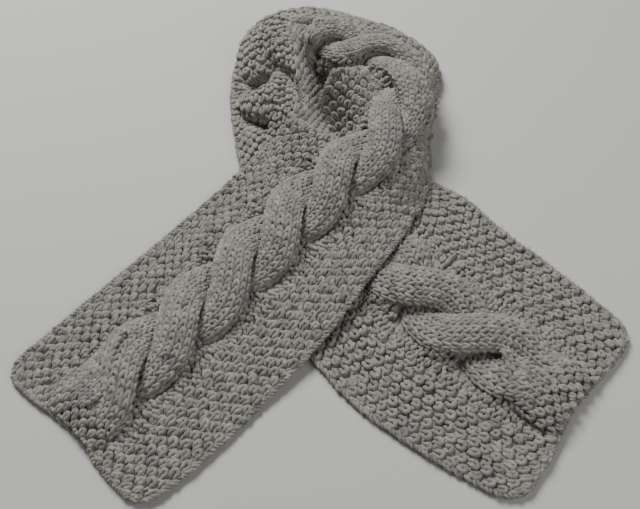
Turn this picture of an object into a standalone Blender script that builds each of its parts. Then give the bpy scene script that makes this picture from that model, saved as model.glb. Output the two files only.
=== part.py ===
"""Hand-knitted neck scarf with a rope cable down its middle, curled over itself once and laid down.

The scarf is one long strip of knitting. Its form is worked out from a table of sections across the
strip, a rope-cable relief and a short table of folds. Three solids share that form: the upper tail,
which lies on top, the heap of the neck loop, and the lower tail, which runs beneath the upper one.
"""

import math

import bmesh
import bpy
import numpy as np
from mathutils import Vector
from mathutils.bvhtree import BVHTree

MM = 0.001

# Widths across the strip, in millimetres from the middle of the cable.
CABLE_HALF = 24.0
BORDER = 47.0
HALF_WIDTH = CABLE_HALF + BORDER
# Clearance between two solids that touch.
GAP = 0.35

# A row for each section across the strip, from the free end of the upper tail to that of the lower
# tail, in millimetres and degrees. "x" and "y" place the cable, "heading" is the way the knitting
# runs, "lift" is the height of the cloth under the cable, "lean" its tilt towards the outer side and
# "cable" its half width there. "in" is the inner border and "out" the outer one: "reach" is how far
# the selvedge lies from the cable, "edge" its height, and "start" and "end" are the border's slopes.
SECTION_COLUMNS = (
    "x", "y", "heading", "lift", "lean", "cable",
    "in_reach", "in_edge", "in_start", "in_end",
    "out_reach", "out_edge", "out_start", "out_end",
)
SECTIONS = (
    (-149, -127.5, 49, 5, 0, 24, 60, 5, 0, 0, 66, 5, 0, 0),
    (-120, -94, 49, 6, 0, 24, 60, 5, 0, 0, 72, 5, 0, 0),
    (-90, -60, 49, 6, 0, 24, 60, 5, 0, 0, 74, 5, 0, 0),
    (-56, -21, 49, 8, 0, 24, 60, 5, 0, 0, 75, 11, 0, 0),
    (-20, 18, 48, 14, 0, 24, 61, 8, 0, 0, 69, 17, 0, 0),
    (13, 49, 46, 23, 0, 23, 64, 17, 5, -15, 60, 16, 0, 0),
    (28, 61, 47, 27, 0, 22, 63, 26, 5, -10, 52, 11, -5, -20),
    (40, 71, 50, 29, 3, 21, 55, 4, -75, 0, 46, 8, -15, -35),
    (54, 93, 64, 32, 10, 20, 54, 9, -65, 5, 33, 4, -45, -45),
    (60, 106, 73, 33, 12, 20, 63, 17, -45, 0, 25, 4, -65, -45),
    (65, 125, 84, 34, 12, 20, 61, 30, -15, 0, 22, 4, -75, -50),
    (62, 144, 95, 34, 10, 20, 53, 37, 5, -10, 32, 4, -60, -50),
    (51, 158, 118, 34, 5, 20, 44, 34, 0, -15, 52, 6, -25, -65),
    (36, 167, 154, 34, 0, 20, 30, 12, -70, -50, 58, 5, 5, -75),
    (20, 173, 163, 34, 0, 20, 30, 8, -60, 0, 57, 5, 15, -80),
    (3, 179, 172, 34, -5, 20, 34, 8, -60, 0, 63, 4, 15, -75),
    (-9, 178, 212, 33, -25, 18, 36, 7, -50, 0, 70, 4, 20, -70),
    (-8, 162, 252, 22, -45, 17, 36, 6, -35, 0, 66, 4, 15, -70),
    (-6, 143, 268, 16, -45, 16, 36, 5, -25, 0, 66, 5, 0, -60),
    (-6, 123, 271, 12, -40, 16, 38, 5, -20, 0, 63, 5, -5, -50),
    (-4, 96, 275, 8, -15, 20, 44, 5, -10, 0, 59, 5, -10, -20),
    (7, 62, 292, 7, 0, 22, 58, 5, 0, 0, 61, 5, 0, 0),
    (30, 15, 310, 7, 0, 25, 70, 5, 0, 0, 85, 5, 0, 0),
    (50, -14, 316, 7, 0, 25.5, 80, 5, 0, 0, 84, 5, 0, 0),
    (70, -41, 320, 6, 0, 26, 82, 5, 0, 0, 83, 5, 0, 0),
    (108, -75, 320, 6, 0, 26, 78, 5, 0, 0, 80, 5, 0, 0),
    (155, -114.5, 320, 6, 0, 26, 69, 5, 0, 0, 70, 5, 0, 0),
)

# The rope cable: distance between crossings, place of the first one, how far each of the two strands
# swings to the side, its half width and half height, and how far it rises over the other.
CROSSING = 48.4
FIRST_CROSSING = 43.5
SWING, STRAND_WIDE, STRAND_HIGH, STRAND_RISE = 12.2, 14.3, 8.6, 6.0
# The cable fans out flat near each end, over these distances from it, and is pressed flat where the
# strip is folded or covered.
FIRST_FAN, LAST_FAN, FAN_HIGH, FAN_LIFT = (12.0, 40.0), (18.0, 52.0), 9.0, 14.0
PRESSED_FROM, PRESSED_TO, PRESSED_DEPTH = 436.0, 656.0, 0.9

# A row for each pleat of the border, in millimetres: its place along the strip, where it starts and
# stops across, how far it slants along for each millimetre across, its depth, its half width and how
# far the cloth before it hangs over it.
FOLD_COLUMNS = ("along", "start", "stop", "slant", "depth", "wide", "push")
FOLDS = (
    (466, 37, 67, 0.10, 27, 8, 14),
    (498, 8, 48, -1.15, 9, 5, 5),
    (514, 37, 66, -0.70, 16, 6, 9),
    (493, 30, 66, -0.50, -5, 9, 0),
)
FOLD_FADE = 12.0

# Corner radius of the free ends, and how far each end is drawn in at the cable.
CORNER = 15.0
DRAWN_IN = 4.0

# Where the loop's heap begins and ends along the strip, and the middle that its rings close round.
LOOP_FROM, LOOP_TO = 280.0, 534.0
LOOP_MIDDLE = (18.0, 138.0)
VALLEY, EDGE_LEAST = 8.0, 3.0
CUTTER_TOP = 80.0
# Middle of the whole scarf's box in the sections' own plan.
MIDDLE_X, MIDDLE_Y = 2.57, 40.12

# Grid sizes of the solids: columns of points across the strip, and rings and spokes of the heap.
ACROSS = (-71, -62, -48, -35, -27, -23, -18, -12, -6, 0, 6, 12, 18, 23, 27, 35, 48, 62, 71)
ROW_STEP = 8.0
RINGS, SPOKES = 15, 66
HEAP_SOFTENING = 0.4


def smooth(x):
    """Ease from 0 to 1 with level ends."""
    x = np.clip(x, 0.0, 1.0)
    return x * x * (3.0 - 2.0 * x)


def stations():
    """Distance along the strip of each section, measured through the lifted cable."""
    rows = np.array(SECTIONS, float)
    step = np.diff(rows[:, [0, 1, 3]], axis=0)
    return np.concatenate([[0.0], np.cumsum(np.sqrt((step**2).sum(axis=1)))])


STATIONS = stations()
LENGTH = float(STATIONS[-1])


def section_at(along):
    """The section table read at any distance along the strip, as a dictionary of named columns."""
    rows = np.array(SECTIONS, float)
    gaps = np.diff(STATIONS)[:, None]
    slopes = np.diff(rows, axis=0) / gaps
    turns = np.empty_like(rows)
    turns[1:-1] = (slopes[:-1] * gaps[1:] + slopes[1:] * gaps[:-1]) / (gaps[1:] + gaps[:-1])
    turns[0], turns[-1] = slopes[0], slopes[-1]
    k = np.clip(np.searchsorted(STATIONS, along, side="right") - 1, 0, len(rows) - 2)
    gap = gaps[k]
    t = ((along - STATIONS[k]) / gap[:, 0])[:, None]
    values = (
        (1 + 2 * t) * (1 - t) ** 2 * rows[k]
        + t * (1 - t) ** 2 * gap * turns[k]
        + t * t * (3 - 2 * t) * rows[k + 1]
        + t * t * (t - 1) * gap * turns[k + 1]
    )
    return dict(zip(SECTION_COLUMNS, values.T))


def border_curve(t, start, end, start_slope, end_slope):
    """A curve of the border's own width from the cable's side to the selvedge."""
    return (
        (1 + 2 * t) * (1 - t) ** 2 * start
        + t * (1 - t) ** 2 * BORDER * start_slope
        + t * t * (3 - 2 * t) * end
        + t * t * (t - 1) * BORDER * end_slope
    )


def base_surface(across, along):
    """Points of the smooth strip. Positive "across" is the outer side, negative the inner one."""
    s = section_at(along)
    outer = across >= 0
    side = np.where(outer, 1.0, -1.0)
    reach = np.where(outer, s["out_reach"], s["in_reach"])
    edge = np.where(outer, s["out_edge"], s["in_edge"])
    start = np.radians(np.where(outer, s["out_start"], s["in_start"]))
    end = np.radians(np.where(outer, s["out_end"], s["in_end"]))
    lean = np.radians(s["lean"]) * side
    inside = np.minimum(np.abs(across), CABLE_HALF) * s["cable"] / CABLE_HALF
    flat, high = s["cable"] * np.cos(lean), s["lift"] - s["cable"] * np.sin(lean)
    t = np.clip((np.abs(across) - CABLE_HALF) / BORDER, 0.0, 1.0)
    in_cable = np.abs(across) <= CABLE_HALF
    off = np.where(in_cable, inside * np.cos(lean), border_curve(t, flat, reach, np.cos(start), np.cos(end)))
    up = np.where(in_cable, s["lift"] - inside * np.sin(lean), border_curve(t, high, edge, np.sin(start), np.sin(end)))
    way = np.radians(s["heading"])
    return np.stack([s["x"] + np.sin(way) * off * side, s["y"] - np.cos(way) * off * side, up], axis=-1)


def strand_middle(turn):
    """How far to the side a strand's middle lies. It swings slowly on top and fast underneath."""
    c = np.cos(turn)
    return SWING * np.where(np.sin(turn) < 0, np.sign(c) * np.sqrt(np.abs(c)), c)


def cable_relief(across, along):
    """Height of the knitting over the base strip: two strands that twist, fanned out at the ends."""
    turn = math.pi * ((along - FIRST_CROSSING) / CROSSING + 0.5)
    rope = np.zeros_like(across)
    for strand in (0.0, math.pi):
        aside = across - strand_middle(turn + strand)
        dome = np.sqrt(np.maximum(1.0 - (aside / STRAND_WIDE) ** 2, 0.0))
        rope = np.maximum(rope, np.where(dome > 0, 1.0 + STRAND_RISE * np.sin(turn + strand) + STRAND_HIGH * dome, 0))
    from_end = np.minimum(along, LENGTH - along)
    fan_from, fan_to = (np.where(along < LENGTH / 2, first, last) for first, last in zip(FIRST_FAN, LAST_FAN))
    flattened = smooth((along - PRESSED_FROM) / 30.0) * smooth((PRESSED_TO - along) / 30.0)
    fanned = smooth((from_end - fan_from) / (fan_to - fan_from)) * (1.0 - flattened)
    fan = FAN_HIGH * np.sqrt(np.maximum(1.0 - (across / CABLE_HALF) ** 2, 0.0)) * smooth((from_end + FAN_LIFT) / 36.0)
    return (fanned * rope + (1.0 - fanned) * fan) * (1.0 - PRESSED_DEPTH * flattened)


def cloth_surface(across, along):
    """Points of the scarf's upper face, with its cable and pleats, in the sections' own plan."""
    across, along = (a.ravel() for a in np.broadcast_arrays(np.asarray(across, float), np.asarray(along, float)))
    half = 0.5
    points = base_surface(across, along)
    sideways = base_surface(across + half, along) - base_surface(across - half, along)
    forward = base_surface(across, along + half) - base_surface(across, along - half)
    outward = np.cross(forward, -sideways)
    outward /= np.linalg.norm(outward, axis=1, keepdims=True) + 1e-9
    outward *= np.where(outward[:, 2:] < -0.05, -1.0, 1.0)
    forward /= np.linalg.norm(forward, axis=1, keepdims=True) + 1e-9
    points += outward * cable_relief(across, along)[:, None]
    for row in FOLDS:
        fold = dict(zip(FOLD_COLUMNS, row))
        there = smooth((across - fold["start"]) / FOLD_FADE) * smooth((fold["stop"] - across) / FOLD_FADE + 0.3)
        near = (along - fold["along"] - fold["slant"] * (across - fold["start"])) / fold["wide"]
        near = np.where(near > 0, near / 1.4, near)
        points -= outward * (fold["depth"] * there * np.exp(-near * near))[:, None]
        over = (near + 1.3) / np.where(near < -1.3, 2.2, 1.0)
        points += forward * (fold["push"] * there * np.exp(-over * over))[:, None]
    return points


def end_trim(across, along):
    """Round the corners of the free ends and draw each end in at the cable."""
    from_end = np.minimum(along, LENGTH - along)
    inward = np.sign(LENGTH / 2 - along)
    near = smooth(1.0 - from_end / 40.0)
    drawn = DRAWN_IN * smooth(1.0 - np.abs(across) / 50.0) * near
    short = np.clip(CORNER - from_end, 0.0, CORNER)
    narrow = CORNER - np.sqrt(CORNER**2 - short**2)
    return across * (1.0 - narrow / HALF_WIDTH), along + inward * drawn


def surface_tree(first, last):
    """The scarf's upper face between two stations, ready to be looked down on."""
    rows = np.linspace(first, last, int((last - first) / 3.0) + 2)
    columns = np.linspace(-HALF_WIDTH, HALF_WIDTH, 58)
    across, along = np.meshgrid(columns, rows)
    points = cloth_surface(*end_trim(across, along))
    faces = []
    for i in range(len(rows) - 1):
        for j in range(len(columns) - 1):
            k = i * len(columns) + j
            faces.append((k, k + 1, k + len(columns) + 1, k + len(columns)))
    return BVHTree.FromPolygons([tuple(p) for p in points], faces)


def height_below(tree, x, y):
    """Height of the highest cloth over a place in plan, or None where there is none."""
    hit = tree.ray_cast(Vector((x, y, 200.0)), Vector((0.0, 0.0, -1.0)))[0]
    return None if hit is None else hit.z


def loop_outline():
    """The heap's edge in plan: the outer selvedge round the loop, closed by the two seams."""
    along = np.linspace(LOOP_FROM, LOOP_TO, 90)
    edge = cloth_surface(np.full_like(along, HALF_WIDTH), along)[:, :2]
    inner = cloth_surface([-HALF_WIDTH], [LOOP_FROM])[0, :2]
    return np.vstack([edge, inner[None]])


def reach_in(outline, middle, angle):
    """Distance from the middle to the outline along an angle."""
    a, b = outline - middle, np.roll(outline, -1, axis=0) - middle
    way = np.array([math.cos(angle), math.sin(angle)])
    d = b - a
    across_way = d[:, 0] * way[1] - d[:, 1] * way[0]
    across_way[np.abs(across_way) < 1e-9] = 1e-9
    share = (a[:, 1] * way[0] - a[:, 0] * way[1]) / across_way
    hit = (a + d * share[:, None]) @ way
    good = (share >= 0) & (share <= 1) & (hit > 0)
    return float(hit[good].max())


def wool(name, colour):
    """Matte knitted wool."""
    material = bpy.data.materials.new(name)
    material.use_nodes = True
    shader = material.node_tree.nodes["Principled BSDF"]
    shader.inputs["Base Color"].default_value = (*colour, 1.0)
    shader.inputs["Roughness"].default_value = 0.95
    shader.inputs["Metallic"].default_value = 0.0
    return material


def make_object(name, bm, colour, collection):
    """Turn a bmesh in the sections' plan, in millimetres, into a named object centred on its box."""
    bmesh.ops.translate(bm, verts=bm.verts, vec=(-MIDDLE_X, -MIDDLE_Y, 0.0))
    bmesh.ops.scale(bm, verts=bm.verts, vec=(MM, MM, MM))
    bmesh.ops.recalc_face_normals(bm, faces=bm.faces)
    mesh = bpy.data.meshes.new(name)
    bm.to_mesh(mesh)
    bm.free()
    mesh.shade_smooth()
    mesh.set_sharp_from_angle(angle=math.radians(50))
    mesh.materials.append(wool(name + "_wool", colour))
    obj = bpy.data.objects.new(name, mesh)
    collection.objects.link(obj)
    return obj


def close_below(bm):
    """Close an open sheet with its own flat shadow on the ground."""
    made = bmesh.ops.extrude_face_region(bm, geom=list(bm.faces))["geom"]
    for item in made:
        if isinstance(item, bmesh.types.BMVert):
            item.co.z = 0.0
    bmesh.ops.recalc_face_normals(bm, faces=bm.faces)


def strip_grid(first, last):
    """An open grid on the scarf's upper face between two stations."""
    count = max(2, int(round((last - first) / ROW_STEP)) + 1)
    bm = bmesh.new()
    bmesh.ops.create_grid(bm, x_segments=len(ACROSS) - 1, y_segments=count - 1, size=0.5)
    across = np.array([ACROSS[int(round((v.co.x + 0.5) * (len(ACROSS) - 1)))] for v in bm.verts], float)
    along = np.array([first + (v.co.y + 0.5) * (last - first) for v in bm.verts])
    for vert, point in zip(bm.verts, cloth_surface(*end_trim(across, along))):
        vert.co = point
    bmesh.ops.triangulate(bm, faces=bm.faces)
    return bm


def place_in_loop(bm):
    """Stretch a disc of radius 1 over the loop's outline. Returns each point's share of the way out."""
    outline, middle = loop_outline(), np.array(LOOP_MIDDLE)
    shares = {}
    for vert in bm.verts:
        share = min(vert.co.to_2d().length, 1.0)
        angle = math.atan2(vert.co.y, vert.co.x)
        reach = share * reach_in(outline, middle, angle)
        vert.co.x, vert.co.y = middle[0] + reach * math.cos(angle), middle[1] + reach * math.sin(angle)
        shares[vert] = share
    return shares


def loop_cutter(collection):
    """A tall block round the heap, a gap wider than it, that keeps the tails clear of the loop."""
    bm = bmesh.new()
    bmesh.ops.create_circle(bm, cap_ends=True, segments=SPOKES, radius=1.0)
    place_in_loop(bm)
    for vert in bm.verts:
        vert.co.z = CUTTER_TOP
    made = bmesh.ops.extrude_face_region(bm, geom=list(bm.faces))["geom"]
    for item in made:
        if isinstance(item, bmesh.types.BMVert):
            item.co.z = -CUTTER_TOP
    bmesh.ops.recalc_face_normals(bm, faces=bm.faces)
    bm.normal_update()
    for vert in bm.verts:
        vert.co.xy += vert.normal.to_2d().normalized() * GAP
    cutter = make_object("loop_cutter", bm, (0.5, 0.5, 0.5), collection)
    cutter.hide_render = True
    cutter.display_type = "WIRE"
    return cutter


def lower_tail_cutter(collection):
    """The lower tail, a gap bigger all round, that the upper tail is laid over."""
    bm = strip_grid(LOOP_TO, LENGTH)
    close_below(bm)
    bm.normal_update()
    for vert in bm.verts:
        vert.co += vert.normal * (GAP * 1.4)
    cutter = make_object("lower_tail_cutter", bm, (0.5, 0.5, 0.5), collection)
    cutter.hide_render = True
    cutter.display_type = "WIRE"
    return cutter


def cut_clear(obj, cutter):
    """Take a cutter's block off a tail."""
    cut = obj.modifiers.new("clear_of_" + cutter.name, "BOOLEAN")
    cut.operation = "DIFFERENCE"
    cut.object = cutter


def make_neck_loop(collection):
    """The heap of the loop: rings draped on the highest cloth, over one flat underside."""
    tree = surface_tree(LOOP_FROM, LOOP_TO)
    bm = bmesh.new()
    bmesh.ops.create_circle(bm, cap_ends=True, cap_tris=True, segments=SPOKES, radius=1.0 / RINGS)
    for ring in range(2, RINGS + 1):
        rim = [e for e in bm.edges if e.is_boundary]
        out = bmesh.ops.extrude_edge_only(bm, edges=rim)["geom"]
        verts = [item for item in out if isinstance(item, bmesh.types.BMVert)]
        bmesh.ops.scale(bm, verts=verts, vec=(ring / (ring - 1), ring / (ring - 1), 1.0))
    for vert, share in place_in_loop(bm).items():
        height = height_below(tree, vert.co.x, vert.co.y)
        vert.co.z = VALLEY if height is None else max(height, VALLEY * (1.0 - share) + EDGE_LEAST)
    inner = [v for v in bm.verts if not v.is_boundary]
    bmesh.ops.smooth_vert(bm, verts=inner, factor=HEAP_SOFTENING, use_axis_z=True)
    close_below(bm)
    return make_object("neck_loop", bm, (0.36, 0.37, 0.36), collection)


def make_lower_tail(collection, loop_block):
    """The tail that runs beneath the upper one, flat on the ground."""
    bm = strip_grid(LOOP_TO, LENGTH)
    close_below(bm)
    cut_clear(make_object("lower_tail", bm, (0.33, 0.34, 0.34), collection), loop_block)


def make_upper_tail(collection, loop_block, lower_block):
    """The tail on top: flat on the ground at its free end, and laid over the lower tail above it."""
    bm = strip_grid(0.0, LOOP_FROM + 8.0)
    close_below(bm)
    tail = make_object("upper_tail", bm, (0.38, 0.38, 0.37), collection)
    cut_clear(tail, loop_block)
    cut_clear(tail, lower_block)


def main():
    for obj in list(bpy.data.objects):
        bpy.data.objects.remove(obj)
    scarf = bpy.data.collections.new("knit_scarf")
    cutters = bpy.data.collections.new("cutters")
    bpy.context.scene.collection.children.link(scarf)
    bpy.context.scene.collection.children.link(cutters)
    loop_block = loop_cutter(cutters)
    lower_block = lower_tail_cutter(cutters)
    make_neck_loop(scarf)
    make_lower_tail(scarf, loop_block)
    make_upper_tail(scarf, loop_block, lower_block)


main()
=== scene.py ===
"""Hand-knitted neck scarf with a rope cable down its middle, curled over itself once and laid down.

The strip's form is worked out from a table of sections across it. Rows of looped yarn are then laid
on that form: moss stitch in the borders, purl in the gutters, and plain knit stitches on the two
strands of the cable. A thin cloth beneath the yarn closes the gaps between the stitches.

The tables and the functions that read them are in millimetres and degrees. "across" is the distance
from the middle of the cable, and "along" the distance from the free end of the upper tail.
"""

import math

import bmesh
import bpy
import numpy as np
from bpy.props import FloatProperty, FloatVectorProperty, IntProperty, PointerProperty
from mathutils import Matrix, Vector
from mathutils.bvhtree import BVHTree


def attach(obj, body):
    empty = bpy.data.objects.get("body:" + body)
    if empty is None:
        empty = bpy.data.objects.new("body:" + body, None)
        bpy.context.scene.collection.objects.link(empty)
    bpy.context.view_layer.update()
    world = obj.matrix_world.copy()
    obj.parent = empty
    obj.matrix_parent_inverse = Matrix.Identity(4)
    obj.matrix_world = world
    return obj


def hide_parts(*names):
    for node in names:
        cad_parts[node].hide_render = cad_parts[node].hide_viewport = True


bl_info = {
    "name": "Cable Knit Scarf",
    "version": (1, 0, 0),
    "blender": (4, 5, 0),
    "location": "View3D > Sidebar > Scarf",
    "description": "Knits a curled cable scarf, row by row, on its own laid form",
    "category": "Add Mesh",
}

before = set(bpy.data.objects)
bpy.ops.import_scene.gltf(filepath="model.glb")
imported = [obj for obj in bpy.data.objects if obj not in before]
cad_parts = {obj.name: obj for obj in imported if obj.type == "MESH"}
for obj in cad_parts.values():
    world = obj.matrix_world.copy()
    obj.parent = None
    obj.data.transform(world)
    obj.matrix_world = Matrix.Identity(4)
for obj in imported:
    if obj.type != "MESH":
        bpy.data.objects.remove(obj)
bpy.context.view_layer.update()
MM = 0.001

# Widths across the strip: half the cable, a border, and from the middle to where its moss begins.
CABLE_HALF = 24.0
BORDER = 47.0
HALF_WIDTH = CABLE_HALF + BORDER
GUTTER_END = 33.0
# The inner gutter is squeezed under the cable and opens over this length, and both gutters are wider
# where the cable is pressed flat.
SQUEEZED_END, SQUEEZED_FROM, SQUEEZED_TO = 29.0, 300.0, 420.0
PRESSED_WIDER = 6.0
# How far out from the strand the gutter drops down its flank.
GUTTER_DROP = 3.0

# A row for each section across the strip, from the free end of the upper tail to that of the lower
# tail. "x" and "y" place the cable, "heading" is the way the knitting runs, "lift" is the height of
# the cloth under the cable, "lean" its tilt towards the outer side and "cable" its half width there.
# "in" is the inner border and "out" the outer one: "reach" is how far the selvedge lies from the
# cable, "edge" its height, and "start" and "end" are the border's slopes.
SECTION_COLUMNS = (
    "x", "y", "heading", "lift", "lean", "cable",
    "in_reach", "in_edge", "in_start", "in_end",
    "out_reach", "out_edge", "out_start", "out_end",
)
SECTIONS = (
    (-149, -127.5, 49, 5, 0, 24, 60, 5, 0, 0, 66, 5, 0, 0),
    (-120, -94, 49, 6, 0, 24, 60, 5, 0, 0, 72, 5, 0, 0),
    (-90, -60, 49, 6, 0, 24, 60, 5, 0, 0, 74, 5, 0, 0),
    (-56, -21, 49, 8, 0, 24, 60, 5, 0, 0, 75, 11, 0, 0),
    (-20, 18, 48, 14, 0, 24, 61, 8, 0, 0, 69, 17, 0, 0),
    (13, 49, 46, 23, 0, 23, 64, 17, 5, -15, 60, 16, 0, 0),
    (28, 61, 47, 27, 0, 22, 63, 26, 5, -10, 52, 11, -5, -20),
    (40, 71, 50, 29, 3, 21, 55, 4, -75, 0, 46, 8, -15, -35),
    (54, 93, 64, 32, 10, 20, 54, 9, -65, 5, 33, 4, -45, -45),
    (60, 106, 73, 33, 12, 20, 63, 17, -45, 0, 25, 4, -65, -45),
    (65, 125, 84, 34, 12, 20, 61, 30, -15, 0, 22, 4, -75, -50),
    (62, 144, 95, 34, 10, 20, 53, 37, 5, -10, 32, 4, -60, -50),
    (51, 158, 118, 34, 5, 20, 44, 34, 0, -15, 52, 6, -25, -65),
    (36, 167, 154, 34, 0, 20, 30, 12, -70, -50, 58, 5, 5, -75),
    (20, 173, 163, 34, 0, 20, 30, 8, -60, 0, 57, 5, 15, -80),
    (3, 179, 172, 34, -5, 20, 34, 8, -60, 0, 63, 4, 15, -75),
    (-9, 178, 212, 33, -25, 18, 36, 7, -50, 0, 70, 4, 20, -70),
    (-8, 162, 252, 22, -45, 17, 36, 6, -35, 0, 66, 4, 15, -70),
    (-6, 143, 268, 16, -45, 16, 36, 5, -25, 0, 66, 5, 0, -60),
    (-6, 123, 271, 12, -40, 16, 38, 5, -20, 0, 63, 5, -5, -50),
    (-4, 96, 275, 8, -15, 20, 44, 5, -10, 0, 59, 5, -10, -20),
    (7, 62, 292, 7, 0, 22, 58, 5, 0, 0, 61, 5, 0, 0),
    (30, 15, 310, 7, 0, 25, 70, 5, 0, 0, 85, 5, 0, 0),
    (50, -14, 316, 7, 0, 25.5, 80, 5, 0, 0, 84, 5, 0, 0),
    (70, -41, 320, 6, 0, 26, 82, 5, 0, 0, 83, 5, 0, 0),
    (108, -75, 320, 6, 0, 26, 78, 5, 0, 0, 80, 5, 0, 0),
    (155, -114.5, 320, 6, 0, 26, 69, 5, 0, 0, 70, 5, 0, 0),
)
# The middle of the laid strip's box, as the table has it.
MIDDLE_X, MIDDLE_Y = 2.57, 40.12
# The lowest above the floor that the middle of the cloth or of a yarn comes.
LOWEST = 2.0
# Corner radius of the free ends, how far each end is drawn in at the cable, and over what distances.
CORNER = 15.0
DRAWN_IN, DRAWN_ALONG, DRAWN_ACROSS = 4.0, 40.0, 50.0

# The rope cable: distance between crossings, place of the first one, how far each of the two strands
# swings to the side, its half width and half height, how far it rises over the other, and how high it
# lies over the strip.
CROSSING = 48.4
FIRST_CROSSING = 43.5
SWING, STRAND_WIDE, STRAND_HIGH, STRAND_RISE, STRAND_BASE = 12.2, 14.3, 8.6, 6.0, 1.0
# The two strands, as how far round the rope each one starts.
STRANDS = (0.0, math.pi)
# How far round a strand its stitches reach, and the share of a row's slant that shows.
STRAND_TURN = 78.0
ROW_SLANT = 0.7
# The cable fans out flat near each end, between these distances from it. The fan's height, how far
# past the end it would start to rise, and over what distance it rises.
FIRST_FAN, LAST_FAN = (12.0, 40.0), (18.0, 52.0)
FAN_HIGH, FAN_LIFT, FAN_SLOPE = 9.0, 14.0, 36.0
# The cable is pressed flat where the strip is folded or covered: from where to where, over what
# distance it gives way, and the share of its height that goes.
PRESSED_FROM, PRESSED_TO, PRESSED_FADE, PRESSED_DEPTH = 436.0, 656.0, 30.0, 0.9
# A flat first strand lies on the cable's outer side up to this share of the strip, then on the inner.
OUTER_SIDE_TO = 0.3
# Near each end the second strand runs under a tongue of its own stitches: where that strand comes out
# from under the first tongue and goes in under the last, and where the two tongues have their tips.
TUCKED_TO, TUCKED_FROM = 32.0, 757.0
FIRST_TIP, LAST_TIP = 62.0, 731.0
# How far short of the strand's middle the first tongue stops. The last tongue's sides at its tip, and
# the distance over which it opens.
TONGUE_SHORT = 4.0
TIP_START, TIP_END, TIP_OPENS = 1.0, 5.0, 34.0
# How much higher than the fan each tongue comes to lie, and over what distance.
FIRST_TONGUE_RISE, LAST_TONGUE_RISE, TONGUE_SLOPE = 6.0, 5.0, 50.0

# A row for each pleat of the border: its place along the strip, where it starts and stops across, how
# far it slants along for each millimetre across, its depth, its half width and how far the cloth
# before it hangs over it.
FOLD_COLUMNS = ("along", "start", "stop", "slant", "depth", "wide", "push")
FOLDS = (
    (466, 37, 67, 0.10, 27, 8, 14),
    (498, 8, 48, -1.15, 9, 5, 5),
    (514, 37, 66, -0.70, 16, 6, 9),
    (493, 30, 66, -0.50, -5, 9, 0),
)
# The distance across over which a pleat opens, and the share of it that lies past where it stops.
FOLD_FADE, FOLD_PAST = 12.0, 0.3
# How many times as wide a pleat is beyond its bottom as before it, how many half widths before its
# bottom the cloth hangs over it most, and how many times as wide that is before there as beyond.
FOLD_LONGER, LIP_BEFORE, LIP_LONGER = 1.4, 1.3, 2.2

# The pattern: rows in all, moss rows at each end, stitches in a border's moss and in a strand, the
# width of a purl stitch in the gutter and of a knit stitch on a tongue, and the fewest and the most
# stitches in the gutter.
ROWS, FIRST_MOSS_ROWS, LAST_MOSS_ROWS = 205, 4, 6
MOSS_STITCHES, STRAND_STITCHES = 7, 6
GUTTER_WIDE, TONGUE_WIDE = 4.4, 3.9
GUTTER_FEWEST, GUTTER_MOST = 2, 6
KNIT, PURL = 1.0, -1.0
# How far the first and last rows lie from the free ends, and how near to the ends any yarn comes.
END_ROW, END_CLEAR = 3.5, 2.0
# How far a row's yarn lies behind the strip's face, and how far the moss stays in from the selvedge.
SUNK = 2.6
MOSS_IN = 1.2
# How far a whole row strays along the strip, in the borders and in the cable, and how uneven knit
# stitches are, as a share of moss ones.
BORDER_SHIFT, CABLE_SHIFT, KNIT_UNEVEN = 0.3, 0.15, 0.5
# Added to the seed for the cable, so that it strays in its own way.
CABLE_SEED = 1000
# How far from the cable's middle a border's rows are counted, and at how many places along.
ROWS_AT, ROWS_MEASURED = (38.0, 50.0, 62.0), 2400
# Points of yarn in a stitch. One with a longer step than this between two of them is left out.
LOOP_POINTS, LONGEST_STEP = 11, 5.0
# A row for each place round a stitch's loop, from the top of its head to halfway to its neighbour:
# the share of the way round, and how far forward it is pulled by being a knit stitch itself, by the
# one knitted through it in the next row, and by its neighbour.
LOOP_PULLS = (
    (0.0, 0.0, -1.0, 0.0),
    (0.182, 0.15, -0.8, 0.0),
    (0.364, 0.9, 0.0, 0.0),
    (0.545, 0.8, 0.0, 0.0),
    (0.727, -0.4, 0.0, 0.0),
    (0.909, -0.75, 0.0, -0.2),
    (1.0, -0.5, 0.0, -0.5),
)

# The yarn strays from its line once in so many points, and grows thicker or thinner once in so many,
# by this share.
STRAY_EVERY, THICK_EVERY, THICK_NOISE = 4, 7, 0.05
# The yarn's bevel resolution, and the sides that it gives.
YARN_RESOLUTION, YARN_SIDES = 1, 6
# The chained yarn along the edges: how far in from a selvedge and from a free end it runs, how near to
# the ends a selvedge's reaches, the step between its points, the length of a link, how far it swings
# to the side and up, how far it lies behind the strip's face, and its share of the yarn's thickness.
SELVEDGE_IN, FREE_END_IN, SELVEDGE_CLEAR = 0.6, 1.2, 1.5
EDGE_STEP, LINK, EDGE_SWING, EDGE_SWELL, EDGE_SUNK, EDGE_THIN = 0.8, 5.2, 1.0, 0.7, 2.0, 0.85
# Loose fibres root on yarn at least this thick, are so many times as likely on an edge's yarn, start
# at this share of the yarn's radius, rise at least so steeply, bend so much, are half so long, and
# taper so from root to tip.
ROOT_THICK, EDGE_FIBRES, ROOT_OUT = 0.95, 6, 0.6
FIBRE_RISE, FIBRE_BEND, FIBRE_HALF = 0.3, 0.5, (0.8, 2.2)
FIBRE_TAPER = (1.0, 0.8, 0.3)
# The thin cloth: segments across and their length along, how far it stays in from the selvedges and
# the ends, the share of the cable's relief that it takes, and its thickness.
CLOTH_COLUMNS, CLOTH_STEP, CLOTH_IN, CLOTH_END = 48, 4.0, 1.0, 1.5
CLOTH_RELIEF, CLOTH_THICK = 0.8, 1.2
# The shell that hides stitches: points across and along, and how far behind the face it lies.
SHELL_COLUMNS, SHELL_ROWS, SHELL_SUNK = 60, 270, 3.0
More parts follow.
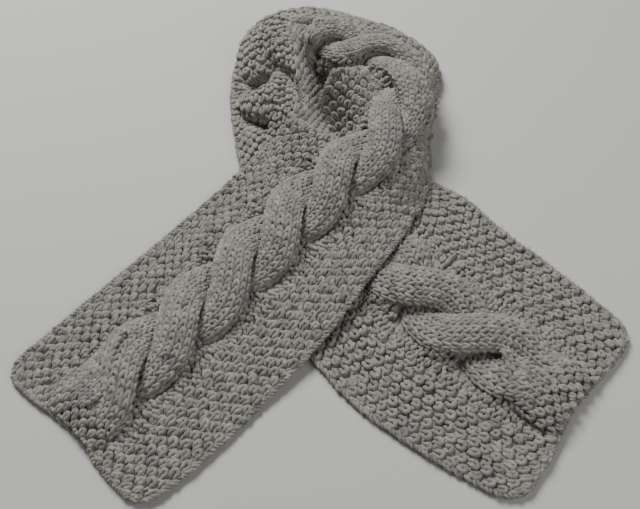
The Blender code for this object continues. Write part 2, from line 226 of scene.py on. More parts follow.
# A look out from a stitch: how far above it this starts, its tilts and how many ways round.
LOOK_ABOVE, LOOK_TILTS, LOOKS_ROUND = 0.4, (35, 65, 85), 8

# The wool's blotches and flecks, the distance between its plies' furrows, and their share of the bump.
BLOTCH, FLECK, PLY, PLY_BUMP = 6.0, 1.3, 3.2, 0.35
# The camera's sensor, its picture's width and focal length in pixels, and its distance in metres and
# tilt down.
SENSOR, VIEW_WIDE, VIEW_FOCAL = 36.0, 640.0, 700.0
CAMERA_AWAY, CAMERA_DOWN = 0.48, 57.0
# The lights: name, place and size in metres, and power in watts.
LIGHTS = (
    ("window", (-0.52, 0.85, 1.15), 0.65, 24.0),
    ("room", (0.9, -0.6, 0.8), 0.8, 4.4),
)
FLOOR_HALF = 4.0


def stations():
    """Distance along the strip of each section, measured through the lifted cable."""
    rows = np.array(SECTIONS, float)
    step = np.diff(rows[:, [0, 1, 3]], axis=0)
    return np.concatenate([[0.0], np.cumsum(np.sqrt((step**2).sum(axis=1)))])


STATIONS = stations()
LENGTH = float(STATIONS[-1])
ROW = (LENGTH - 2 * END_ROW) / (ROWS - 1)

# The stretches that show: name, which is the CAD solid's too, and where each begins and ends.
STRETCHES = (("upper_tail", 0.0, 280.0), ("neck_loop", 280.0, 534.0), ("lower_tail", 534.0, LENGTH))


def smooth(x):
    """Ease from 0 to 1 with level ends."""
    x = np.clip(x, 0.0, 1.0)
    return x * x * (3.0 - 2.0 * x)


def from_end(along):
    """Distance from the nearer free end."""
    return np.minimum(along, LENGTH - along)


def section_at(along):
    """The section table read at any distance along the strip, as a dictionary of named columns."""
    rows = np.array(SECTIONS, float)
    gaps = np.diff(STATIONS)[:, None]
    slopes = np.diff(rows, axis=0) / gaps
    turns = np.empty_like(rows)
    turns[1:-1] = (slopes[:-1] * gaps[1:] + slopes[1:] * gaps[:-1]) / (gaps[1:] + gaps[:-1])
    turns[0], turns[-1] = slopes[0], slopes[-1]
    k = np.clip(np.searchsorted(STATIONS, along, side="right") - 1, 0, len(rows) - 2)
    gap = gaps[k]
    t = ((along - STATIONS[k]) / gap[:, 0])[:, None]
    values = (
        (1 + 2 * t) * (1 - t) ** 2 * rows[k]
        + t * (1 - t) ** 2 * gap * turns[k]
        + t * t * (3 - 2 * t) * rows[k + 1]
        + t * t * (t - 1) * gap * turns[k + 1]
    )
    return dict(zip(SECTION_COLUMNS, values.T))


def border_curve(t, start, end, start_slope, end_slope):
    """A curve of the border's own width from the cable's side to the selvedge."""
    return (
        (1 + 2 * t) * (1 - t) ** 2 * start
        + t * (1 - t) ** 2 * BORDER * start_slope
        + t * t * (3 - 2 * t) * end
        + t * t * (t - 1) * BORDER * end_slope
    )


def base_surface(across, along):
    """Points of the smooth strip. Positive "across" is the outer side, negative the inner one."""
    s = section_at(along)
    outer = across >= 0
    side = np.where(outer, 1.0, -1.0)
    reach = np.where(outer, s["out_reach"], s["in_reach"])
    edge = np.where(outer, s["out_edge"], s["in_edge"])
    start = np.radians(np.where(outer, s["out_start"], s["in_start"]))
    end = np.radians(np.where(outer, s["out_end"], s["in_end"]))
    lean = np.radians(s["lean"]) * side
    inside = np.minimum(np.abs(across), CABLE_HALF) * s["cable"] / CABLE_HALF
    flat, high = s["cable"] * np.cos(lean), s["lift"] - s["cable"] * np.sin(lean)
    t = np.maximum((np.abs(across) - CABLE_HALF) / BORDER, 0.0)
    past = np.maximum(t - 1.0, 0.0) * BORDER
    t = np.minimum(t, 1.0)
    in_cable = np.abs(across) <= CABLE_HALF
    off = border_curve(t, flat, reach, np.cos(start), np.cos(end)) + past * np.cos(end)
    up = border_curve(t, high, edge, np.sin(start), np.sin(end)) + past * np.sin(end)
    off = np.where(in_cable, inside * np.cos(lean), off)
    up = np.where(in_cable, s["lift"] - inside * np.sin(lean), up)
    way = np.radians(s["heading"])
    x = s["x"] + np.sin(way) * off * side
    y = s["y"] - np.cos(way) * off * side
    return np.stack([x, y, up], axis=-1)


def end_trim(across, along):
    """Round the corners of the free ends and draw each end in at the cable."""
    inward = np.sign(LENGTH / 2 - along)
    near = smooth(1.0 - from_end(along) / DRAWN_ALONG)
    drawn = DRAWN_IN * smooth(1.0 - np.abs(across) / DRAWN_ACROSS) * near
    short = np.clip(CORNER - from_end(along), 0.0, CORNER)
    narrow = CORNER - np.sqrt(CORNER**2 - short**2)
    return across * (1.0 - narrow / HALF_WIDTH), along + inward * drawn


def fold_shape(row, across, along):
    """How far one pleat dips and how far the cloth before it hangs over it."""
    fold = dict(zip(FOLD_COLUMNS, row))
    into = across - fold["start"]
    there = smooth(into / FOLD_FADE) * smooth((fold["stop"] - across) / FOLD_FADE + FOLD_PAST)
    near = (along - fold["along"] - fold["slant"] * into) / fold["wide"]
    near = np.where(near > 0, near / FOLD_LONGER, near)
    over = (near + LIP_BEFORE) / np.where(near < -LIP_BEFORE, LIP_LONGER, 1.0)
    dip = fold["depth"] * there * np.exp(-near * near)
    push = fold["push"] * there * np.exp(-over * over)
    return dip[:, None], push[:, None]


def lay(across, along, height):
    """Points at a height over the smooth strip, with its pleats, in metres from the scarf's origin."""
    arrays = np.broadcast_arrays(across, along, height)
    across, along, height = (np.asarray(a, float).ravel() for a in arrays)
    across, along = end_trim(across, along)
    half = 0.5
    points = base_surface(across, along)
    sideways = base_surface(across + half, along) - base_surface(across - half, along)
    forward = base_surface(across, along + half) - base_surface(across, along - half)
    outward = np.cross(forward, -sideways)
    outward /= np.linalg.norm(outward, axis=1, keepdims=True) + 1e-9
    outward *= np.where(outward[:, 2:] < -0.05, -1.0, 1.0)  # The face looks up, or at least aside.
    forward /= np.linalg.norm(forward, axis=1, keepdims=True) + 1e-9
    points += outward * height[:, None]
    for row in FOLDS:
        dip, push = fold_shape(row, across, along)
        points -= outward * dip
        points += forward * push
    points[:, 2] = np.maximum(points[:, 2], LOWEST)
    return (points - (MIDDLE_X, MIDDLE_Y, 0.0)) * MM


def cable_turn(along):
    """How far the cable has twisted at a place along the strip. Its crossings are half a turn apart."""
    return math.pi * ((along - FIRST_CROSSING) / CROSSING + 0.5)


def flattened(along):
    """1 where the cable is folded or covered, and its stitches lie flat, 0 elsewhere."""
    return smooth((along - PRESSED_FROM) / PRESSED_FADE) * smooth((PRESSED_TO - along) / PRESSED_FADE)


def fanned(along):
    """0 where the cable is spread flat, 1 where it is a rope of two strands."""
    near_first = along < LENGTH / 2
    fan_from, fan_to = (np.where(near_first, *pair) for pair in zip(FIRST_FAN, LAST_FAN))
    return smooth((from_end(along) - fan_from) / (fan_to - fan_from)) * (1.0 - flattened(along))


def fan_rise(along):
    """Share of its height that the fan has this far from its end."""
    return smooth((from_end(along) + FAN_LIFT) / FAN_SLOPE)


def fan_height(across, along):
    """Height of the fanned cable over the base strip."""
    crown = np.sqrt(np.maximum(1.0 - (across / CABLE_HALF) ** 2, 0.0))
    return FAN_HIGH * crown * fan_rise(along)


def pressed(along):
    """Share of its height that the cable keeps where it is folded or covered."""
    return 1.0 - PRESSED_DEPTH * flattened(along)


def strand_middle(turn):
    """How far to the side a strand's middle lies. It swings slowly on top and fast underneath."""
    c = np.cos(turn)
    return SWING * np.where(np.sin(turn) < 0, np.sign(c) * np.sqrt(np.abs(c)), c)


def cable_relief(across, along):
    """Height of the cloth over the base strip: two strands that twist, fanned out at the ends."""
    turn = cable_turn(along)
    rope = np.zeros_like(across)
    for strand in STRANDS:
        aside = across - strand_middle(turn + strand)
        dome = np.sqrt(np.maximum(1.0 - (aside / STRAND_WIDE) ** 2, 0.0))
        high = STRAND_BASE + STRAND_RISE * np.sin(turn + strand) + STRAND_HIGH * dome
        rope = np.maximum(rope, np.where(dome > 0, high, 0))
    share = fanned(along)
    return (share * rope + (1.0 - share) * fan_height(across, along)) * pressed(along)


def on_strand(turned, along, sunk, strand):
    """Place on one strand of the cable: how far round it, and how deep under its face.

    Returns distances across and along the strip and the height over it. The row lies square to the
    strand where the strand runs aslant.
    """
    turn = cable_turn(along) + strand
    slope = np.clip(-SWING * math.pi / CROSSING * np.sin(turn), -1.0, 1.0)
    off = (STRAND_WIDE - sunk) * np.sin(turned)
    across = strand_middle(turn) + off / np.sqrt(1.0 + slope**2)
    height = STRAND_BASE + STRAND_RISE * np.sin(turn) + (STRAND_HIGH - sunk) * np.cos(turned)
    first = strand == STRANDS[0]
    side = np.where(along < LENGTH * OUTER_SIDE_TO, 1.0, -1.0) * (1.0 if first else -1.0)
    opened = np.degrees(turned) / STRAND_TURN
    flat_across = side * CABLE_HALF / 2 + CABLE_HALF / 2 * opened
    flat_height = fan_height(flat_across, along) - sunk
    share = fanned(along) if first else 1.0 - flattened(along)
    across = share * across + (1.0 - share) * flat_across
    height = (share * height + (1.0 - share) * flat_height) * pressed(along)
    return across, along - ROW_SLANT * slope * off * share, height


def tongue_sides(along):
    """Where a tongue of the second strand's stitches begins and ends across the strip."""
    near_first = along < LENGTH / 2
    first_end = fanned(along) * (strand_middle(cable_turn(along)) - TONGUE_SHORT)
    opened = smooth((along - LAST_TIP) / TIP_OPENS)
    start = np.where(near_first, -CABLE_HALF, TIP_START * (1.0 - opened))
    return start, np.where(near_first, first_end, TIP_END + (CABLE_HALF - TIP_END) * opened)


def on_tongue(share, along, sunk):
    """Place on a tongue, a share of its width from its inner side, and deep under its face."""
    start, end = tongue_sides(along)
    near_first = along < LENGTH / 2
    inside = np.clip(share, 0.0, 1.0)
    dome = np.where(near_first, 1.0 - (1.0 - inside) ** 2, 1.0 - inside**4)
    rise = np.where(near_first, FIRST_TONGUE_RISE, LAST_TONGUE_RISE)
    high = (FAN_HIGH + rise * smooth(from_end(along) / TONGUE_SLOPE)) * np.sqrt(np.maximum(dome, 0.0))
    return start + share * (end - start), along, high * fan_rise(along) - sunk


def gutter_end(along, side):
    """Where the gutter gives way to the moss border, as a distance from the middle of the cable."""
    wider = PRESSED_WIDER * flattened(along)
    if side > 0:
        return GUTTER_END + wider
    opened = smooth((along - SQUEEZED_FROM) / (SQUEEZED_TO - SQUEEZED_FROM))
    return SQUEEZED_END + (GUTTER_END - SQUEEZED_END) * opened + wider


def in_gutter(share, along, sunk, side):
    """Place on the gutter beside the cable, from the strand's flank down to the moss border."""
    turn = cable_turn(along)
    turn = turn + np.where(side * np.cos(turn) >= 0, *STRANDS)
    turned = math.radians(STRAND_TURN)
    rope_across = strand_middle(turn) + side * STRAND_WIDE * math.sin(turned)
    rope_height = STRAND_BASE + STRAND_RISE * np.sin(turn) + STRAND_HIGH * math.cos(turned)
    fan = fanned(along)
    top_across = fan * rope_across + (1.0 - fan) * side * CABLE_HALF
    top_height = fan * rope_height * pressed(along)
    low_across = fan * (rope_across + side * GUTTER_DROP)
    low_across += (1.0 - fan) * side * (CABLE_HALF + GUTTER_DROP)
    end_across = side * gutter_end(along, side)
    across = (1 - share) ** 2 * top_across + 2 * share * (1 - share) * low_across + share**2 * end_across
    height = (1 - share) ** 2 * top_height
    run = 2 * (1 - share) * (low_across - top_across) + 2 * share * (end_across - low_across)
    fall = -2 * (1 - share) * top_height
    size = np.hypot(run, fall) + 1e-9
    return across + sunk * side * fall / size, along, height - sunk * np.abs(run) / size


def linear(hex_colour):
    """An sRGB hex colour as linear red, green, blue and alpha."""
    parts = [int(hex_colour[i : i + 2], 16) / 255 for i in (1, 3, 5)]
    return (*(c / 12.92 if c <= 0.04045 else ((c + 0.055) / 1.055) ** 2.4 for c in parts), 1.0)


def millimetres(name, description, default, lowest, highest):
    """A property that holds a length."""
    return FloatProperty(
        name=name, description=description, default=default * MM, min=lowest * MM, max=highest * MM,
        precision=5, unit="LENGTH",
    )


def number(name, description, default, highest):
    """A property that holds a plain number."""
    return FloatProperty(name=name, description=description, default=default, min=0.0, max=highest)


def colour(name, description, hex_colour):
    """A property that holds a colour."""
    return FloatVectorProperty(
        name=name, description=description, default=linear(hex_colour),
        subtype="COLOR", size=4, min=0, max=1,
    )


class ScarfSizes(bpy.types.PropertyGroup):
    """Sizes of the yarn and its stitches."""

    yarn_radius: millimetres("Yarn radius", "Half the thickness of the worsted yarn", 1.28, 0.3, 3)
    cable_radius: millimetres(
        "Cable yarn radius", "Half the thickness of the yarn where the cable draws it tight", 1.2, 0.3, 3
    )
    knit_height: millimetres("Knit height", "Half the height of a plain knit loop", 4.1, 1, 9)
    moss_height: millimetres("Moss height", "Half the height of a moss loop", 3.1, 1, 9)
    knit_depth: millimetres(
        "Knit depth", "How far a plain knit loop stands in front of or behind its row", 1.35, 0.1, 3
    )
    moss_depth: millimetres(
        "Moss depth", "How far a moss loop stands in front of or behind its row", 1.5, 0.1, 3
    )
    knit_waist: number(
        "Knit waist", "How much narrower a plain knit loop is at its foot than at its head", 0.34, 0.4
    )
    moss_waist: number(
        "Moss waist", "How much narrower a moss loop is at its foot than at its head", 0.18, 0.4
    )
    fibre_radius: millimetres("Fibre radius", "Half the thickness of a loose tuft", 0.08, 0.01, 0.3)
    fibres: number("Fibres", "Loose tufts for each millimetre of the strip's length", 9.5, 20.0)
    puff: number("Puff", "How much fatter the yarn is where it comes forward, as a share", 0.2, 0.5)
    unevenness: millimetres("Unevenness", "How far stitches stray from their places", 0.28, 0, 1)
    cable_unevenness: millimetres("Cable unevenness", "How far its stitches stray", 0.14, 0, 1)
    stitch_unevenness: number(
        "Stitch unevenness", "How far each moss stitch differs in size and place, as a share", 0.11, 0.3
    )
    seed: IntProperty(name="Seed", description="Picks the way the stitches stray", default=5, min=0)


class ScarfColours(bpy.types.PropertyGroup):
    """Colours of the heathered wool and of the floor."""

    light: colour("Light fibres", "Warm pale grey fibres of the heather", "#b5aea2")
    dark: colour("Dark fibres", "Cooler grey fibres of the heather", "#787978")
    floor: colour("Floor", "Plain pale floor", "#d9d8d5")


def add_node(tree, kind, settings=None, inputs=None):
    """Add a shader node and set its properties. An input is a value or another node's socket."""
    node = tree.nodes.new(kind)
    for name, value in (settings or {}).items():
        setattr(node, name, value)
    for name, value in (inputs or {}).items():
        if isinstance(value, bpy.types.NodeSocket):
            tree.links.new(value, node.inputs[name])
        else:
            node.inputs[name].default_value = value
    return node


def make_wool(name, along_yarn):
    """Heathered worsted wool, spun of four plies from pale and cooler grey fibres, matte and fuzzy.

    The heather is blotches about 6 mm long over flecks of about 1 mm. Along a yarn, the plies show as
    slanting furrows 3.2 mm apart. Sheen stands for the halo of loose fibres.
    """
    colours = bpy.context.scene.scarf_colours
    material = bpy.data.materials.new(name)
    material.use_nodes = True
    tree = material.node_tree
    tree.nodes.clear()
    place = add_node(tree, "ShaderNodeTexCoord").outputs["Object"]
    blotch, fleck = (
        add_node(tree, "ShaderNodeTexNoise", inputs={"Scale": scale, "Detail": detail, "Vector": place})
        for scale, detail in ((1 / (BLOTCH * MM), 2.0), (1 / (FLECK * MM), 3.0))
    )
    blotch, fleck = blotch.outputs["Fac"], fleck.outputs["Fac"]
    add_up = {"operation": "MULTIPLY_ADD"}
    heather = add_node(tree, "ShaderNodeMath", add_up, {0: fleck, 1: 0.6, 2: blotch}).outputs[0]
    share = add_node(
        tree, "ShaderNodeMapRange", inputs={"Value": heather, "From Min": 0.55, "From Max": 1.05}
    ).outputs["Result"]
    ends = {"Factor": share, 6: colours.dark, 7: colours.light}
    mixed = add_node(tree, "ShaderNodeMix", {"data_type": "RGBA"}, ends).outputs[2]
    height = fleck
    if along_yarn:
        uv = add_node(tree, "ShaderNodeUVMap", {"uv_map": "UVMap"}).outputs["UV"]
        yarn = add_node(tree, "ShaderNodeSeparateXYZ", inputs={"Vector": uv}).outputs
        wind = add_node(tree, "ShaderNodeMath", add_up, {0: yarn["X"], 1: 1 / PLY, 2: yarn["Y"]})
        full = {0: wind.outputs[0], 1: math.tau}
        turn = add_node(tree, "ShaderNodeMath", {"operation": "MULTIPLY"}, full)
        ply = add_node(tree, "ShaderNodeMath", {"operation": "SINE"}, {0: turn.outputs[0]}).outputs[0]
        height = add_node(tree, "ShaderNodeMath", add_up, {0: ply, 1: PLY_BUMP, 2: fleck}).outputs[0]
    bump = add_node(
        tree, "ShaderNodeBump", inputs={"Strength": 0.7, "Distance": 0.25 * MM, "Height": height}
    ).outputs["Normal"]
    look = {
        "Roughness": 0.95, "Metallic": 0.0, "Specular IOR Level": 0.2,
        "Sheen Weight": 0.25, "Sheen Roughness": 0.6,
    }
    shader = add_node(
        tree, "ShaderNodeBsdfPrincipled", inputs={**look, "Base Color": mixed, "Normal": bump}
    ).outputs["BSDF"]
    add_node(tree, "ShaderNodeOutputMaterial", inputs={"Surface": shader})
    return material


def wool(along_yarn):
    """The scarf's wool, made once and shared."""
    name = "heathered_worsted_wool" if along_yarn else "heathered_wool_cloth"
    return bpy.data.materials.get(name) or make_wool(name, along_yarn)


def add_object(name, data):
    """Put a new object in the scene."""
    obj = bpy.data.objects.new(name, data)
    bpy.context.scene.collection.objects.link(obj)
    return obj


def base_cloth(name, start, stop):
    """A thin cloth just behind the yarn, as a grid on the strip's form."""
    bm = bmesh.new()
    rows = int((stop - start) / CLOTH_STEP) + 1
    bmesh.ops.create_grid(bm, x_segments=CLOTH_COLUMNS, y_segments=rows, size=0.5)
    across = np.array([v.co.x * 2 * (HALF_WIDTH - CLOTH_IN) for v in bm.verts])
    along = np.array([start + (v.co.y + 0.5) * (stop - start) for v in bm.verts])
    along = np.clip(along, CLOTH_END, LENGTH - CLOTH_END)
    height = CLOTH_RELIEF * cable_relief(across, along) - SUNK
    for vert, point in zip(bm.verts, lay(across, along, height)):
        vert.co = point
    bmesh.ops.recalc_face_normals(bm, faces=bm.faces)
    if sum(f.normal.z for f in bm.faces) < 0:
        bmesh.ops.reverse_faces(bm, faces=bm.faces)
    mesh = bpy.data.meshes.new(name)
    bm.to_mesh(mesh)
    bm.free()
    mesh.shade_smooth()
    mesh.materials.append(wool(False))
    obj = add_object(name, mesh)
    wall = obj.modifiers.new("wall", "SOLIDIFY")
    wall.thickness = CLOTH_THICK * MM
    wall.offset = -1.0
    return obj


def strip_shell():
    """The whole strip as a shell, to find the stitches that it hides from every side."""
    n = SHELL_COLUMNS
    columns = np.linspace(-HALF_WIDTH, HALF_WIDTH, n)
    rows = np.linspace(0.0, LENGTH, SHELL_ROWS)
    across, along = (a.ravel() for a in np.meshgrid(columns, rows))
    points = lay(across, along, cable_relief(across, along) - SHELL_SUNK)
    faces = [
        (i * n + j, i * n + j + 1, (i + 1) * n + j + 1, (i + 1) * n + j)
        for i in range(SHELL_ROWS - 1)
        for j in range(n - 1)
    ]
    return BVHTree.FromPolygons([tuple(p) for p in points], faces)


def look_ways():
    """Ways to look out from a stitch: straight up, and all round at each tilt."""
    ways = [Vector((0.0, 0.0, 1.0))]
    for tilt in LOOK_TILTS:
        low, flat = math.cos(math.radians(tilt)), math.sin(math.radians(tilt))
        for k in range(LOOKS_ROUND):
            turn = k * math.tau / LOOKS_ROUND
            ways.append(Vector((flat * math.cos(turn), flat * math.sin(turn), low)))
    return ways


LOOK_WAYS = look_ways()


def seen_runs(path, tree):
    """The parts of a line of yarn whose stitches can be seen and aren't pulled out in a crease."""
    pieces, current = [], []
    for stitch in path.reshape(-1, LOOP_POINTS, 4):
        pulled = np.linalg.norm(np.diff(stitch[:, :3], axis=0), axis=1).max() > LONGEST_STEP * MM
        eye = Vector(stitch[np.argmax(stitch[:, 3]), :3]) + Vector((0.0, 0.0, LOOK_ABOVE * MM))
        if not pulled and any(tree.ray_cast(eye, way)[0] is None for way in LOOK_WAYS):
            current.append(stitch)
        elif current:
            pieces.append(np.concatenate(current))
            current = []
    if current:
        pieces.append(np.concatenate(current))
    return pieces


def loop_path(own, after, beyond, mossy, sizes, rng):
    """One row of stitches as a looping line: how far along the row, up the strip and in front.

    "own" and "after" hold a 1 for each knit stitch of this row and the next and a -1 for each purl
    one, and "beyond" is what follows the row. The fourth line is the yarn's puff.
    """
    height, waist, depth = sizes.knit_height, sizes.knit_waist, sizes.knit_depth / MM
    if mossy:
        height, waist, depth = sizes.moss_height, sizes.moss_waist, sizes.moss_depth / MM
    uneven = sizes.stitch_unevenness * (1.0 if mossy else KNIT_UNEVEN) * rng.normal(size=(len(own), 4))
    beside = np.concatenate([[PURL], own, [beyond]])
    t = (np.arange(LOOP_POINTS) + 0.5) / LOOP_POINTS * math.tau - math.pi
    places, *pulls = np.array(LOOP_PULLS).T
    by_own, by_after, by_beside = (np.interp(np.abs(t) / math.pi, places, pull) for pull in pulls)
    across, up, front = [], [], []
    for k, (moved, taller, tilted, deeper) in enumerate(uneven):
        neighbour = np.where(t < 0, beside[k], beside[k + 2])
        across.append(k + 0.5 + t / math.tau + waist * np.sin(2 * t) + moved * (1 + np.cos(t)) / 2)
        up.append(height / MM * ((1 + taller) * np.cos(t) + tilted * np.sin(t)))
        pull = by_own * own[k] + by_after * after[k] + by_beside * neighbour
        front.append((1 + 2 * deeper) * pull)
    front = np.concatenate(front)
    return np.concatenate(across), np.concatenate(up), front * depth, 1.0 + sizes.puff * front


def moss(row, column):
    """Moss stitch: knit and purl change places at each stitch and each row."""
    return KNIT if (row + column) % 2 == 0 else PURL


def in_end_moss(row, last):
    """True for the rows of moss stitch that run right across the strip at each free end."""
    return row < FIRST_MOSS_ROWS or row > last - LAST_MOSS_ROWS


def border_stitches(row, last, outer, flat, gutter):
    """Knit or purl for the stitches from the gutter to the selvedge."""
    mossy = flat or in_end_moss(row, last)
    return np.array([
        moss(row, k - gutter + outer) if mossy or k >= gutter else PURL
        for k in range(gutter + MOSS_STITCHES)
    ])


def cable_stitches(row, count, mossy):
    """Knit or purl for the stitches of a strand or a tongue."""
    return np.array([moss(row, k) if mossy else KNIT for k in range(count)])


def row_place(row):
    """Distance along the strip of a row of the cable."""
    return END_ROW + row * ROW


def border_places(outer):
    """Distances along the strip of a border's rows, which lie evenly along the border itself."""
    along = np.linspace(0.0, LENGTH, ROWS_MEASURED)
    run = np.zeros_like(along)
    for across in ROWS_AT:
        edge = lay(across if outer else -across, along, 0.0) / MM
        run[1:] += np.cumsum(np.linalg.norm(np.diff(edge, axis=0), axis=1)) / len(ROWS_AT)
    count = int((run[-1] - 2 * END_ROW) / ROW) + 1
    return np.interp(np.linspace(END_ROW, run[-1] - END_ROW, count), run, along)


def rows_between(places, start, stop):
    """The rows of a stretch, out of all rows."""
    return [r for r, place in enumerate(places) if start <= place < stop]


def gutter_count(along, side):
    """How many of the gutter's stitches show: more where the rope swings away and opens it."""
    near, far = (in_gutter(np.array([share]), np.array([along]), 0.0, side) for share in (0.0, 1.0))
    width = math.hypot(float(far[0][0] - near[0][0]), float(far[2][0] - near[2][0]))
    return int(np.clip(round(width / GUTTER_WIDE), GUTTER_FEWEST, GUTTER_MOST))


def spread(noise, every, count):
    """Noise drawn once in so many points, run evenly over all of them."""
    return np.interp(np.arange(count) / every, np.arange(len(noise)), noise)


def strayed(path, rng, amount):
    """A hand's unevenness: each point of a line of yarn off its place, smoothly along the line."""
    noise = rng.normal(size=(len(path) // STRAY_EVERY + 3, 3))
    path = path + np.stack([spread(way, STRAY_EVERY, len(path)) for way in noise.T], axis=1) * amount
    path[:, 2] = np.maximum(path[:, 2], LOWEST * MM)
    return path


def border_row(row, places, outer, sizes, rng):
    """The yarn of one border row from the gutter to just past the selvedge."""
    side = 1.0 if outer else -1.0
    place, last = places[row], len(places) - 1
    flat = bool(flattened(place) > 0.5)
    gutter = gutter_count(place, side)
    own, after = (border_stitches(r, last, outer, flat, gutter) for r in (row, row + 1))
    s, up, front, puff = loop_path(own, after, 0.0, True, sizes, rng)
    ahead, behind = min(row + 1, last), max(row - 1, 0)
    spacing = (places[ahead] - places[behind]) / (ahead - behind)
    shifted = up + rng.normal() * BORDER_SHIFT
    along = np.clip(place + shifted * spacing / ROW, END_CLEAR, LENGTH - END_CLEAR)
    sunk = SUNK - front
    gutter_across, _, gutter_height = in_gutter(np.clip(s / gutter, 0, 1), along, sunk, side)
    moss_from = gutter_end(along, side)
    moss_wide = (HALF_WIDTH - MOSS_IN - moss_from) / MOSS_STITCHES
    moss_across = side * (moss_from + (s - gutter) * moss_wide)
    across = np.where(s >= gutter, moss_across, gutter_across)
    height = np.where(s >= gutter, -sunk, gutter_height)
    return np.column_stack([strayed(lay(across, along, height), rng, sizes.unevenness), puff])


def cable_along(row, up, rng):
    """Distances along the strip for a row of the cable, a little off its place."""
    return np.clip(row_place(row) + up + rng.normal() * CABLE_SHIFT, END_CLEAR, LENGTH - END_CLEAR)


def cable_yarn(points, puff, sizes, rng):
    """A row's line of yarn in the cable, which draws it tighter and thinner."""
    thin = sizes.cable_radius / sizes.yarn_radius
    return np.column_stack([strayed(points, rng, sizes.cable_unevenness), puff * thin])


def strand_row(row, strand, sizes, rng):
    """The yarn of one row on one strand, without the stitches that a tongue takes over."""
    flat = bool(flattened(row_place(row)) > 0.5)
    mossy, mossy_after = (flat or in_end_moss(r, ROWS - 1) for r in (row, row + 1))
    own = cable_stitches(row, STRAND_STITCHES, mossy)
    after = cable_stitches(row + 1, STRAND_STITCHES, mossy_after)
    s, up, front, puff = loop_path(own, after, PURL, mossy, sizes, rng)
    turned = np.radians(STRAND_TURN) * (2 * s / STRAND_STITCHES - 1)
    place = on_strand(turned, cable_along(row, up, rng), SUNK - front, strand)
    path = cable_yarn(lay(*place), puff, sizes, rng)
    taken = 0
    if row_place(row) < FIRST_TIP:
        middles = place[0].reshape(-1, LOOP_POINTS).mean(axis=1)
        taken = int((middles < tongue_sides(np.array([row_place(row)]))[1][0]).sum())
    return path[taken * LOOP_POINTS :]


def tongue_row(row, sizes, rng):
    """The yarn of one row on a tongue, with as many stitches as it has room for."""
    start, end = (float(side[0]) for side in tongue_sides(np.array([row_place(row)])))
    count = int(np.clip(round((end - start) / TONGUE_WIDE), 1, STRAND_STITCHES))
    mossy = in_end_moss(row, ROWS - 1)
    own, after = (cable_stitches(r, count, mossy) for r in (row, row + 1))
    s, up, front, puff = loop_path(own, after, PURL, mossy, sizes, rng)
    place = on_tongue(s / count, cable_along(row, up, rng), SUNK - front)
    return cable_yarn(lay(*place), puff, sizes, rng)


def edge_yarn(begin, finish, sizes, rng):
    """A yarn that winds along an edge as a row of small chain links, once to each side."""
    (across_a, along_a), (across_b, along_b) = begin, finish
    run = math.hypot(across_b - across_a, along_b - along_a)
    t = np.linspace(0.0, 1.0, int(run / EDGE_STEP) + 2)
    out = np.array([along_b - along_a, across_a - across_b]) / run
    paths = []
    for phase in (0.0, math.pi):
        turn = t * round(run / LINK) * math.tau + phase
        across = across_a + (across_b - across_a) * t + out[0] * EDGE_SWING * np.sin(turn)
        along = along_a + (along_b - along_a) * t + out[1] * EDGE_SWING * np.sin(turn)
        path = strayed(lay(across, along, EDGE_SWELL * np.cos(turn) - EDGE_SUNK), rng, sizes.unevenness)
        paths.append(np.column_stack([path, np.full(len(path), EDGE_THIN)]))
    return paths


def border_edges(outer, start, stop, sizes, rng):
    """The edge yarn of a stretch: along its selvedge, and along its half of a free end."""
    side = HALF_WIDTH - SELVEDGE_IN if outer else SELVEDGE_IN - HALF_WIDTH
    begin, finish = max(start, SELVEDGE_CLEAR), min(stop, LENGTH - SELVEDGE_CLEAR)
    edges = edge_yarn((side, begin), (side, finish), sizes, rng)
    for end in (FREE_END_IN, LENGTH - FREE_END_IN):
        if start <= end <= stop:
            edges += edge_yarn((0.0, end), (side, end), sizes, rng)
    return edges


def tubes(name, paths, radius, resolution, capped, material):
    """Round tubes joined in one mesh. A path's rows are a place and its share of the radius."""
    curve = bpy.data.curves.new(name, "CURVE")
    curve.dimensions = "3D"
    curve.bevel_depth = radius
    curve.bevel_resolution = resolution
    curve.use_fill_caps = capped
    for path in paths:
        spline = curve.splines.new("POLY")
        spline.points.add(len(path) - 1)
        places = np.column_stack([path[:, :3], np.ones(len(path))])
        spline.points.foreach_set("co", places.astype(np.float32).ravel())
        spline.points.foreach_set("radius", path[:, 3].astype(np.float32))
    line = add_object(name + "_line", curve)
    solid = line.evaluated_get(bpy.context.evaluated_depsgraph_get())
    mesh = bpy.data.meshes.new_from_object(solid)
    bpy.data.objects.remove(line)
    bpy.data.curves.remove(curve)
    mesh.name = name
    mesh.shade_smooth()
    mesh.materials.append(material)
    return add_object(name, mesh)


def wind_yarn(name, paths, sizes, rng):
    """Yarn along lines of points, a little thick and thin, with its length in millimetres as U."""
    lines, lengths = [], []
    for path in paths:
        noise = rng.normal(1.0, THICK_NOISE, len(path) // THICK_EVERY + 2)
        thick = spread(noise, THICK_EVERY, len(path)) * path[:, 3]
        lines.append(np.column_stack([path[:, :3], thick]))
        steps = np.linalg.norm(np.diff(path[:, :3], axis=0), axis=1)
        lengths.append(np.concatenate([[0], np.cumsum(steps)]) / MM)
    obj = tubes(name, lines, sizes.yarn_radius, YARN_RESOLUTION, True, wool(True))
    mesh = obj.data
    ring_length = np.concatenate(lengths)
    caps = len(mesh.vertices) - len(ring_length) * YARN_SIDES
    corner = np.empty(len(mesh.loops), np.int32)
    mesh.loops.foreach_get("vertex_index", corner)
    uv = np.empty(len(mesh.loops) * 2, np.float32)
    mesh.uv_layers[0].data.foreach_get("uv", uv)
    uv = uv.reshape(-1, 2)
    on_ring = corner >= caps
    uv[on_ring, 0] = ring_length[(corner[on_ring] - caps) // YARN_SIDES]
    mesh.uv_layers[0].data.foreach_set("uv", uv.ravel())
    return obj


